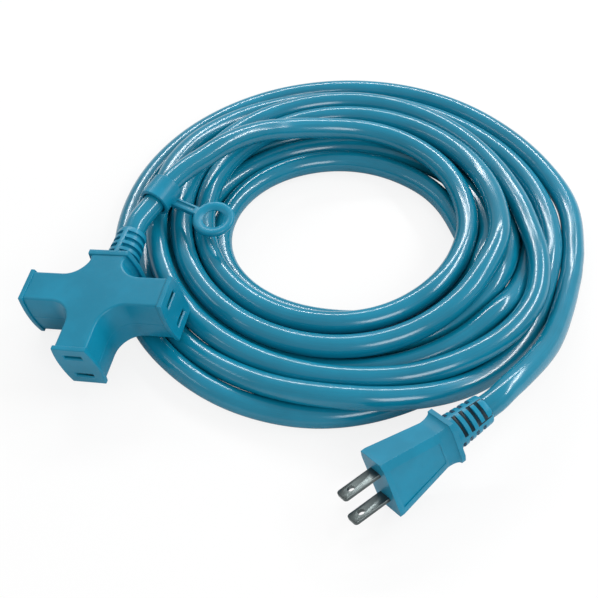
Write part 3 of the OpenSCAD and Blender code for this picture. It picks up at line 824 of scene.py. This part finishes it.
def cast_insulator():
    """Matt pale thermoset with mottling and flow marks."""
    f = Finish("cast_insulator")
    at = f.place()
    flow = f.noise(at, 90, 4, 0.7)
    specks = f.noise(at, 900, 2, 0.6)
    base = f.mix(flow.band(0.3, 0.7), (0.52, 0.48, 0.38), (0.72, 0.68, 0.57))
    base = f.mix(specks.band(0.6, 0.75) * 0.4, base, (0.35, 0.31, 0.24))
    f.set(Base_Color=base, Roughness=(0.5 + 0.2 * flow).clamp(0.3, 0.9))
    return f.bump(flow * 0.5 + specks * 0.5, 0.08 * MM, 0.6).material


def wire_insulation():
    """Pale glossy insulation of a single wire."""
    f = Finish("wire_insulation")
    at = f.place()
    cloud = f.noise(at, 200, 3, 0.6)
    base = f.mix(cloud.band(0.3, 0.7), (0.72, 0.7, 0.64), (0.88, 0.86, 0.8))
    f.set(Base_Color=base, Roughness=(0.28 + 0.15 * cloud).clamp(0.2, 0.6))
    return f.bump(cloud, 0.05 * MM, 0.4).material


FINISHES = {}


def finish(kind):
    """The one material of a kind, made when it is first asked for."""
    if kind not in FINISHES:
        scene = bpy.context.scene
        sheath = tuple(scene.cord_settings.sheath_colour)
        moulding = tuple(scene.tap_settings.moulding_colour)
        FINISHES[kind] = {
            "sheath": lambda: soft_sheath(sheath),
            "moulding": lambda: moulded(moulding),
            # Moulding darkened to a tenth: painted shade for the floors of the plug relief's
            # windows
            "painted_window_shade": lambda: moulded(shade(moulding, 0.1), "moulded_painted_shade"),
            # Blade nickel given a near-black colour: painted shade for the dark reflections on the
            # blades' faces
            "nickel": lambda: plated("blade_plating_painted_dark", (0.11, 0.13, 0.13), 0.2, 0.006 * MM),
            "brass": lambda: plated("contact_brass", (0.78, 0.58, 0.27), 0.26, 0.0072 * MM),
            "insulator": cast_insulator,
            "wire": wire_insulation,
        }[kind]()
    return FINISHES[kind]


# ---------------------------------------------------------------- operators


class CORD_OT_camera(bpy.types.Operator):
    """Set the camera that looks down on the cord from the plug's side"""

    bl_idname = "cord.camera"
    bl_label = "Camera"

    def execute(self, context):
        data = bpy.data.cameras.new("camera")
        data.sensor_width, data.lens = SENSOR, LENS
        data.clip_start, data.clip_end = 0.01, 20
        cam = bpy.data.objects.new("camera", data)
        cam.location = CAMERA_AT
        cam.rotation_euler = (CAMERA_TILT, 0, 0)
        context.scene.collection.objects.link(cam)
        context.scene.camera = cam
        return {"FINISHED"}


class CORD_OT_lay(bpy.types.Operator):
    """Lay the sheath in its coil, from the tap's strain relief to the plug's"""

    bl_idname = "cord.lay"
    bl_label = "Cord"

    def execute(self, context):
        settings = context.scene.cord_settings
        path = cord_course(settings)
        obj = self.tube(path, settings.diameter / 2, settings.sides)
        finish_piece(obj, "cord_sheath", "sheath", "cord_set",
                     "lead_to_tap", "coil", "lead_to_plug")
        context.scene["cord_length"] = float(lengths(path).sum())
        context.scene["cord_path"] = path.flatten().tolist()
        return {"FINISHED"}

    def tube(self, path, r, sides):
        """Round skin along the path that doesn't twist, with its length in metres x 10 as v."""
        tangent = np.gradient(path, axis=0)
        tangent /= np.linalg.norm(tangent, axis=1)[:, None]
        side = np.cross([0, 0, 1], tangent[0])
        around = np.arange(sides) * math.tau / sides
        rings = []
        for at, ahead in zip(path, tangent):
            side = side - ahead * (side @ ahead)
            side /= np.linalg.norm(side)
            up = np.cross(ahead, side)
            rings.append(at + r * (np.cos(around)[:, None] * side + np.sin(around)[:, None] * up))
        along = np.r_[0, np.cumsum(lengths(path))]
        bm = bmesh.new()
        uv = bm.loops.layers.uv.new("along")
        for number, face in enumerate(skin(bm, rings)):
            i, k = divmod(number, sides)
            marks = ((k, i), (k + 1, i), (k + 1, i + 1), (k, i + 1))
            for loop, (u, v) in zip(face.loops, marks):
                loop[uv].uv = (u / sides, along[v] * 10)
            face.smooth = True
        bmesh.ops.recalc_face_normals(bm, faces=bm.faces)
        return new_object("cord_sheath", bm)


class CORD_OT_tap(bpy.types.Operator):
    """Mould the tap: a cross with hollow corners, proud end plates, a flange and slots"""

    bl_idname = "cord.tap"
    bl_label = "Tap body"

    def execute(self, context):
        s = context.scene.tap_settings
        body = self.cross(s)
        plate_h = s.arm_height + 1.0 * MM
        thick, flange_thick = 2.2 * MM, 2.6 * MM
        for reach, turn in self.outlets(s):
            plate = self.plate(s.arm_width + 1.3 * MM, plate_h, s.bulge, thick)
            move(plate, self.across_arm(turn, reach - thick / 2))
            combine(body, plate)
        flange = self.plate(18.7 * MM, plate_h, s.bulge, flange_thick)
        move(flange, self.across_arm(90, s.cord_reach - flange_thick / 2))
        combine(body, flange)
        self.hollow(body, s)
        move(body, TAP_PLACE)
        smooth(body, 32)
        apply(body, "WEIGHTED_NORMAL", keep_sharp=True)
        finish_piece(body, "tap_body", "moulding", "cord_set", "tap_shell")
        return {"FINISHED"}

    def outlets(self, s):
        """Reach and turn in degrees of the arms that have an outlet."""
        return (s.side_reach, 180), (s.front_reach, 270), (s.side_reach, 0)

    def across_arm(self, turn, reach, z=0.0, yaw=90):
        """Matrix that stands a flat outline across an arm, at a distance from the middle."""
        return (
            Matrix.Rotation(math.radians(turn), 4, "Z") @ Matrix.Translation((reach, 0, z))
            @ Euler((math.pi / 2, 0, math.radians(yaw))).to_matrix().to_4x4()
        )

    def cross(self, s):
        """Skin over outlines that bulge to the parting line and round off above and below."""
        half, r = s.arm_height / 2, 0.9 * MM
        upper = [(z * MM, 0.0) for z in (0.2, 1.6, 3.2, 4.8, 6.4, 8)] + [(half - r, 0.0)]
        upper += [
            (half - r + r * math.sin(a), r - r * math.cos(a)) for a in np.radians((22, 45, 67, 90))
        ]
        levels = [(0.1 * MM, 0.13 * MM)] + upper
        levels = [(-z, inset) for z, inset in levels[::-1]] + levels
        rings = []
        for z, inset in levels:
            inset += s.bulge * (z / half) ** 2
            rings.append([(x, y, z) for x, y in self.outline(s, inset)])
        return loft("tap_body", rings)

    def outline(self, s, inset):
        """Cross with hollow corners; the cord arm widens a little to its flange."""
        w = s.arm_width / 2 + s.bulge
        c = w + s.corner
        radius = s.corner + inset
        w -= inset
        sink = 1 * MM
        end = s.cord_reach - sink
        foot = end - 4 * MM
        cord_arm = 90
        reaches = {0: s.side_reach - sink, cord_arm: end, 180: s.side_reach - sink,
                   270: s.front_reach - sink}
        pts = []
        for turn, reach in reaches.items():
            side = [Vector((reach, w))]
            if turn == cord_arm:
                side = [
                    Vector((foot + (end - foot) * f, w + (0.6 + 1.6 * f**2) * MM))
                    for f in (1, 0.8, 0.6, 0.4, 0.2, 0)
                ]
            arm = [Vector((p.x, -p.y)) for p in side[::-1]] + side
            for k in range(13):
                if (turn == 0 and k > 9) or (turn == cord_arm and k < 3):
                    continue
                a = math.radians(270 - 7.5 * k)
                arm.append(Vector((c + radius * math.cos(a), c + radius * math.sin(a))))
            spin = Matrix.Rotation(math.radians(turn), 2)
            pts += [tuple(spin @ p) for p in arm]
        return pts

    def plate(self, top, h, bulge, thick):
        """Barrel-shaped plate with rounded rims, its middle plane at z = 0."""
        obj = sheet_of("plate", barrel_outline(top, h, bulge))
        build_up(obj, [
            (0, thick / 2 - 0.4 * MM), (0.08 * MM, 0.22 * MM), (0.14 * MM, 0.12 * MM),
            (0.2 * MM, 0.06 * MM)])
        return doubled(obj)

    def hollow(self, body, s):
        """Room for the contacts, and the slots with their sloping lead-ins."""
        wall, room, half_pitch = 2.2 * MM, 5.3 * MM, BLADE_PITCH / 2 * MM
        top = s.arm_height / 2 - wall
        side, front = s.side_reach - wall, s.front_reach - wall
        carve(body, block("room_a", (-side, -room, -top), (side, room, top)))
        carve(body, block("room_b", (-room, -front, -top), (room, 15 * MM, top)))
        for reach, turn in self.outlets(s):
            for z in (-half_pitch, half_pitch):
                cut = block("slot", (reach - 4 * MM, -4 * MM, z - 1 * MM),
                            (reach + 1 * MM, 4 * MM, z + 1 * MM))
                carve(body, move(cut, Matrix.Rotation(math.radians(turn), 4, "Z")))
                lead = sheet_of("lead_in", rounded_box_outline(9 * MM, 3 * MM, 0.3 * MM, 2))
                build_up(lead, [(0, 0.1 * MM), (0.5 * MM, 0.45 * MM)])
                recalculate(lead)
                carve(body, move(lead, self.across_arm(turn, reach + 0.1 * MM, z, -90)))


class CORD_OT_reliefs(bpy.types.Operator):
    """Turn both strain reliefs and cut their slots"""

    bl_idname = "cord.reliefs"
    bl_label = "Strain reliefs"

    def execute(self, context):
        length = context.scene.plug_settings.relief_length
        plug = self.relief(length, self.windows)
        at_plug = (
            PLUG_PLACE @ Matrix.Translation((-PLUG_LENGTH * MM, 0, 0))
            @ Matrix.Rotation(-math.pi / 2, 4, "Y") @ Matrix.Rotation(RELIEF_TURN, 4, "Z")
        )
        move(plug, at_plug)
        finish_piece(smooth(plug, 40), "plug_relief", "moulding", "cord_set", "plug_strain_relief")
        # Painted shade: the floors of the windows get the darkened moulding
        self.paint_window_shade(plug, at_plug.inverted())
        tap = self.relief(length, self.slits)
        move(tap, TAP_PLACE @ Matrix.Translation((0, CORD_REACH * MM, 0))
             @ Matrix.Rotation(-math.pi / 2, 4, "X"))
        finish_piece(smooth(tap, 40), "tap_relief", "moulding", "cord_set", "tap_strain_relief")
        return {"FINISHED"}

    def paint_window_shade(self, obj, back):
        """Second finish, the moulding darkened to a tenth, for painted shade on the floors of the
        windows.
        """
        obj.data.materials.append(finish("painted_window_shade"))
        for face in obj.data.polygons:
            at = back @ face.center / MM
            on_floor = 5.1 < abs(at.x) < 5.4 and at.z > 1
            between_rails = abs(at.y) < 4.2
            face.material_index = on_floor and between_rails

    def relief(self, length, cutters):
        """Tapered sleeve along +Z with a rounded lip, cut at four steps."""
        bore, root, tip = 5.02 * MM, 7.6 * MM, 6.35 * MM
        obj = turned("relief", [
            (bore, -1 * MM), (root - 0.3 * MM, -1 * MM), (root, -0.6 * MM), (root, 0.2 * MM),
            (tip + 0.02 * MM, length - 0.7 * MM), (tip - 0.12 * MM, length - 0.3 * MM),
            (tip - 0.45 * MM, length), (bore + 0.2 * MM, length), (bore, length - 0.2 * MM)], 72)
        step = length / 5
        for k in (1, 2, 3, 4):
            for cutter in cutters(k * step, step):
                carve(obj, cutter)
        return obj

    def windows(self, at, step):
        """Cutters for two windows at a height and for two notches half a step below."""
        floor, out = 5.2 * MM, 12 * MM
        window = at, 0.9 * MM, 4.8 * MM, False
        notch = at - step / 2, 0.85 * MM, 4.4 * MM, True
        for middle, half, wide, along_x in (window, notch):
            low, high = middle - half, middle + half
            for near, far in ((-out, -floor), (floor, out)):
                corners = (near, -wide, low), (far, wide, high)
                if along_x:
                    corners = (-wide, near, low), (wide, far, high)
                yield block("cut", *corners, 0.2 * MM, 2)

    def slits(self, at, step):
        """Half rings that leave a spine above and below."""
        low, high, spine, out = at - 0.95 * MM, at + 0.95 * MM, 1.1 * MM, 12 * MM
        floor, rim = 5.5 * MM, 10 * MM
        for near, far in ((-out, -spine), (spine, out)):
            ring = turned("cut", [(floor, low), (rim, low), (rim, high), (floor, high)], 48)
            keep = block("keep", (near, -out, low - 1 * MM), (far, out, high + 1 * MM))
            yield combine(ring, keep, "INTERSECT")


class CORD_OT_plug(bpy.types.Operator):
    """Mould the plug body with its taper, rear flare and bare label panels"""

    bl_idname = "cord.plug"
    bl_label = "Plug body"

    def execute(self, context):
        length = context.scene.plug_settings.length / MM
        body = loft("plug_body", [self.section(*station) for station in self.stations(length)])
        apply(body, "BEVEL", width=0.32 * MM, segments=3, limit_method="ANGLE",
              angle_limit=math.radians(25))
        recalculate(body)
        for side in (-1, 1):
            carve(body, self.panel(length, side))
        move(body, PLUG_PLACE)
        smooth(body, 32)
        apply(body, "WEIGHTED_NORMAL", keep_sharp=True)
        finish_piece(body, "plug_body", "moulding", "cord_set", "plug_shell")
        return {"FINISHED"}

    def stations(self, length):
        """Place, width and thickness of each section: a taper to the waist, then a hollow flare."""
        taken = [(0, *PLUG_FRONT), (-FRONT_SHARE * length, *PLUG_FRONT)]
        (width, thick), (rear_width, rear_thick) = PLUG_WAIST, PLUG_REAR
        for k in range(11):
            a = math.radians(9 * k)
            grow = 1 - math.cos(a)
            taken.append((
                -length * (WAIST_SHARE + FLARE_SHARE * math.sin(a)),
                width + (rear_width - width) * grow, thick + (rear_thick - thick) * grow,
            ))
        return taken + [(-length, *PLUG_REAR)]

    def section(self, x, width, thick):
        """Flat broad faces with a sloping strip on each long edge."""
        b, c = width / 2, thick / 2
        a, d = b - PLUG_STRIP[0], c - PLUG_STRIP[1]
        ring = [(a, c), (b, d), (b, -d), (a, -c), (-a, -c), (-b, -d), (-b, d), (-a, c)]
        return [(x * MM, y * MM, z * MM) for y, z in ring]

    def panel(self, length, side):
        """Cutter for the bare sunk panel, inside a thin rib that follows the taper."""
        start, rib, sunk = FRONT_SHARE * length, 0.55, 0.5
        front, end = 2.6, WAIST_SHARE * length - 0.6
        run = (WAIST_SHARE - FRONT_SHARE) * length
        half = PLUG_FRONT[0] / 2 - PLUG_STRIP[0] - rib
        narrow = (PLUG_FRONT[0] - PLUG_WAIST[0]) / 2 / run
        near, far = (half - narrow * (x - start) for x in (front, end))
        obj = sheet_of("panel", [(-front * MM, -near * MM), (-front * MM, near * MM),
                                 (-end * MM, far * MM), (-end * MM, -far * MM)])
        build_up(obj, [(0, 0.02 * MM), (-0.45 * MM, 0.6 * MM), (0, 2 * MM)])
        recalculate(obj)
        slope = math.atan(0.9 / run)
        matrix = (
            Matrix.Translation((-start * MM, 0, (PLUG_FRONT[1] / 2 - sunk) * MM))
            @ Matrix.Rotation(-slope, 4, "Y") @ Matrix.Translation((start * MM, 0, 0))
        )
        if side < 0:
            matrix = Matrix.Rotation(math.pi, 4, "X") @ matrix
        return move(obj, matrix)


class CORD_OT_blades(bpy.types.Operator):
    """Stamp both blades with their holes and rounded tips"""

    bl_idname = "cord.blades"
    bl_label = "Blades"

    def execute(self, context):
        s = context.scene.plug_settings
        for side, name in ((-1, "line"), (1, "neutral")):
            obj = self.blade(s.blade_length)
            move(obj, Matrix.Translation((0, side * s.blade_pitch / 2, 0))
                 @ Matrix.Rotation(math.pi / 2, 4, "X"))
            move(obj, PLUG_PLACE)
            finish_piece(smooth(obj, 30), name + "_pin", "nickel", "cord_set", name + "_blade")
        return {"FINISHED"}

    def blade(self, length):
        """Half thickness of the blade's outline, mirrored, then drilled."""
        w, r, back = BLADE_WIDTH / 2 * MM, 1.5 * MM, -10 * MM
        pts = [(back, -w)]
        for cy, a0 in ((-1, 270), (1, 0)):
            for k in range(7):
                a = math.radians(a0 + 15 * k)
                pts.append((length - r + r * math.cos(a), cy * (w - r) + r * math.sin(a)))
        pts.append((back, w))
        obj = sheet_of("blade", pts)
        build_up(obj, [(0, 0.6 * MM), (0.06 * MM, 0.1 * MM), (0.12 * MM, 0.05 * MM)])
        doubled(obj)
        hole = move(rod(1.5 * MM, 3 * MM, 48), Matrix.Translation((length - 5 * MM, 0, 0)))
        return carve(obj, hole)


class CORD_OT_hanger(bpy.types.Operator):
    """Mould the hanger: a sleeve round the lead, a ribbed strap and a ring"""

    bl_idname = "cord.hanger"
    bl_label = "Hanger"

    def execute(self, context):
        bore, rim, h, e = 5.6 * MM, 7.2 * MM, 5.75 * MM, 0.4 * MM
        sleeve = turned("sleeve", [
            (bore, -h + e), (bore + e / 2, -h), (rim - e, -h), (rim, -h + e),
            (rim, h - e), (rim - e, h), (bore + e / 2, h), (bore, h - e)], 64)
        ring = self.ring()
        obj = combine(sleeve, self.strap())
        carve(obj, rod(bore, 20 * MM, 64))
        combine(obj, ring)
        move(obj, HANGER_PLACE)
        finish_piece(smooth(obj, 35), "hanger_ring", "moulding", "hanging_ring", "hanger")
        return {"FINISHED"}

    def ring(self):
        """Ring with a rounded rim and a sloping wall round its hole."""
        middle, t = 8, 1.5
        rim = np.radians(np.arange(-90, 91, 15))
        wall = [(7, 1.45), (6.4, 1.25), (5.5, 0.75), (4.9, 0.3)]
        pts = [(middle + t * math.cos(a), t * math.sin(a)) for a in rim]
        pts += wall + [(x, -z) for x, z in wall[::-1]]
        obj = turned("ring", [(x * MM, z * MM) for x, z in pts], 72)
        return move(obj, Matrix.Translation((28 * MM, -1.9 * MM, 0))
                    @ Matrix.Rotation(math.pi / 2, 4, "X"))

    def strap(self):
        """Flat strap with a channel between two side ribs, above and below."""
        bottom, top, half = -3.2 * MM, -0.6 * MM, 2.1 * MM
        deep, wide = 0.6 * MM, 1.05 * MM
        obj = block("strap", (0, bottom, -half), (21 * MM, top, half), 0.3 * MM, 2)
        for y in (top, bottom):
            carve(obj, block("channel", (8 * MM, y - deep, -wide), (17.8 * MM, y + deep, wide),
                             0.15 * MM, 2))
        return obj


class CORD_OT_inside(bpy.types.Operator):
    """Give the contacts, carriers and wires inside the tap and plug their finishes"""

    bl_idname = "cord.inside"
    bl_label = "Inner parts"

    def execute(self, context):
        kinds = {
            "bridge": "insulator", "carrier": "insulator", "_clip": "brass", "_bus": "brass",
            "_wire": "wire", "_blade": "nickel", "lead_to_": "sheath", "coil": "sheath",
        }
        for name, obj in NODES.items():
            dress(obj, next((kind for part, kind in kinds.items() if part in name), "moulding"))
        return {"FINISHED"}


class CORD_OT_declare(bpy.types.Operator):
    bl_idname = "cord.declare"
    bl_label = "Declare cord"

    def execute(self, context):
        objs, scene = bpy.data.objects, context.scene
        on_it = [obj for name, obj in NODES.items()
                 if name.startswith("plug_") and not name.endswith(("shell", "relief"))]
        dressed = "plug_body", "plug_relief", "line_pin", "neutral_pin", "hanger_ring"
        on_it += [objs[name] for name in dressed]
        path = np.array(scene["cord_path"]).reshape(-1, 3)
        return {"FINISHED"}


class CORD_OT_stage(bpy.types.Operator):
    """Set the pale floor and the soft lights"""

    bl_idname = "cord.stage"
    bl_label = "Stage"

    def execute(self, context):
        clear_selection()
        bpy.ops.mesh.primitive_plane_add(size=6, location=(0, 0, -0.0002))
        floor = bpy.context.object
        floor.name = "floor"
        floor.data.materials.append(self.white_floor())
        for name, (at, spread, power) in LAMPS.items():
            self.lamp(name, at, spread, power)
        context.scene.world = self.sky()
        context.scene.view_settings.view_transform = "Standard"
        return {"FINISHED"}

    def sky(self):
        """Plain world, white to the camera and weaker as light."""
        world = bpy.data.worlds.new("studio")
        world.use_nodes = True
        nodes, links = world.node_tree.nodes, world.node_tree.links
        back, path = nodes["Background"], nodes.new("ShaderNodeLightPath")
        strength = nodes.new("ShaderNodeMath")
        strength.operation = "MULTIPLY_ADD"
        strength.inputs[1].default_value = 1 - SKY
        strength.inputs[2].default_value = SKY
        links.new(path.outputs["Is Camera Ray"], strength.inputs[0])
        links.new(strength.outputs[0], back.inputs["Strength"])
        back.inputs["Color"].default_value = (1, 1, 1, 1)
        return world

    def white_floor(self):
        """Matt white floor that stays white to the camera and keeps the shadow."""
        f = Finish("pale_floor")
        f.set(Base_Color=(0.7, 0.7, 0.7, 1), Roughness=0.9)
        glow = f.node("ShaderNodeEmission", None, {"Color": (1, 1, 1, 1), "Strength": 1.0})
        seen = Wire(f, f.node("ShaderNodeLightPath").outputs["Is Camera Ray"])
        both = f.node(
            "ShaderNodeMixShader", None,
            {0: seen * FLOOR_GLOW, 1: f.shader.outputs[0], 2: glow.outputs[0]}
        )
        f.links.new(both.outputs[0], f.nodes["Material Output"].inputs["Surface"])
        return f.material

    def lamp(self, name, at, spread, power):
        """Oblong lamp that faces the lit point."""
        light = bpy.data.lights.new(name, "AREA")
        light.shape = "RECTANGLE"
        light.size, light.size_y = spread
        light.energy = power
        obj = bpy.data.objects.new(name, light)
        obj.location = at
        obj.rotation_euler = (LIT_POINT - Vector(at)).to_track_quat("-Z", "Y").to_euler()
        bpy.context.scene.collection.objects.link(obj)


class CORD_PT_panel(bpy.types.Panel):
    """Lists the steps that dress the cord"""

    bl_idname = "CORD_PT_panel"
    bl_label = "Extension cord"
    bl_space_type = "VIEW_3D"
    bl_region_type = "UI"
    bl_category = "Cord"

    def draw(self, context):
        layout = self.layout
        for name in SETTINGS:
            settings = getattr(context.scene, name)
            for key in settings.__annotations__:
                layout.prop(settings, key)
        for step in STEPS_IN_ORDER:
            layout.operator(step.bl_idname)


SETTINGS = {
    "cord_settings": CordSettings, "tap_settings": TapSettings, "plug_settings": PlugSettings
}
STEPS_IN_ORDER = (
    CORD_OT_camera, CORD_OT_lay, CORD_OT_inside, CORD_OT_tap, CORD_OT_reliefs, CORD_OT_plug,
    CORD_OT_blades, CORD_OT_hanger, CORD_OT_declare, CORD_OT_stage,
)
CLASSES = (*SETTINGS.values(), *STEPS_IN_ORDER, CORD_PT_panel)


def register():
    for cls in CLASSES:
        bpy.utils.register_class(cls)
    for name, cls in SETTINGS.items():
        setattr(bpy.types.Scene, name, bpy.props.PointerProperty(type=cls))


def unregister():
    for name in SETTINGS:
        delattr(bpy.types.Scene, name)
    for cls in reversed(CLASSES):
        bpy.utils.unregister_class(cls)


def main():
    register()
    for step in STEPS_IN_ORDER:
        group, name = step.bl_idname.split(".")
        getattr(getattr(bpy.ops, group), name)()


if __name__ == "__main__":
    main()
